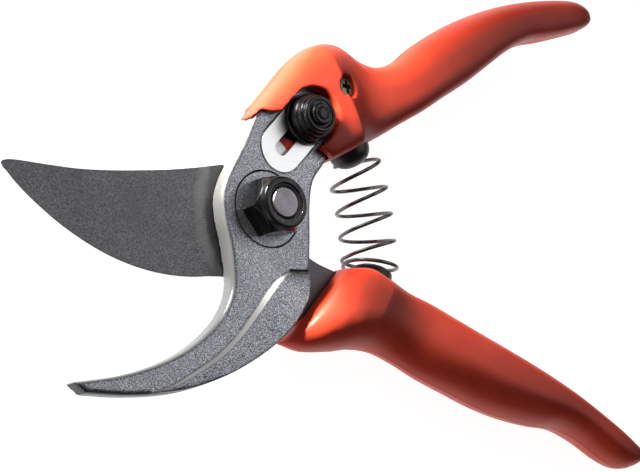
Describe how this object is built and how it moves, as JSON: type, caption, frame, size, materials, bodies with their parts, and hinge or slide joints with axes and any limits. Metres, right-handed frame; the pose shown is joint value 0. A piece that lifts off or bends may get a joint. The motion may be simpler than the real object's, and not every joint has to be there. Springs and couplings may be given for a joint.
{
  "type": "bypass pruner",
  "caption": "Hand bypass pruner with a ground blade, a hooked counter blade, a sliding thumb catch, a coil spring and two curved moulded grips.",
  "frame": {"origin": "on the pivot axis, at the flat face of the pivot bolt's head, which the tool lies on", "axes": "+Z along the pivot axis from the bolt head to the nut, +X from the pivot to the grips along the bisector of the open grips, +Y towards the grip of the hooked counter blade"},
  "size_m": [0.197, 0.1336, 0.021],
  "materials": {
    "alloy": "fine grained, satin",
    "blade_steel": "ground, satin",
    "bolt_steel": "satin",
    "black_metal": "black, semi-gloss",
    "nylon": "matte",
    "bronze": "satin",
    "bright_steel": "fine brushed",
    "grip": "semi-gloss, orange-red",
    "rubber": "matte",
    "spring_steel": "drawn wire"
  },
  "bodies": {
    "hook_side": {"counter_blade": "alloy", "upper_handle": "grip", "upper_handle_screw": "bolt_steel", "upper_bumper": "rubber", "pivot_bolt": "bolt_steel", "pivot_nut": "black_metal", "nut_insert_ring": "nylon", "pivot_washer_front": "bolt_steel", "pivot_thrust_washer": "bronze", "pivot_bushing": "bronze", "catch_plate": "bright_steel", "handle_spring": "spring_steel"},
    "blade_side": {"cutting_blade": "blade_steel", "lower_handle": "grip", "lower_handle_screw": "bolt_steel", "lower_bumper": "rubber"},
    "catch": {"catch_slide": "bright_steel", "catch_stem": "black_metal", "catch_base_washer": "black_metal", "catch_spring_washer": "bolt_steel", "catch_knob": "black_metal"}
  },
  "joints": [
    {"name": "pivot", "type": "hinge", "parent": "hook_side", "child": "blade_side", "pos_m": [0, 0, 0.0065], "axis": [0, 0, 1], "range_deg": [0, 42], "stiffness_Nm_per_rad": 0.3, "springref_deg": -20.05, "deforming": ["handle_spring"]},
    {"name": "catch_slide_travel", "type": "slide", "parent": "hook_side", "child": "catch", "axis": [-0.7373, -0.6756, 0], "range_m": [0, 0.005]}
  ]
}
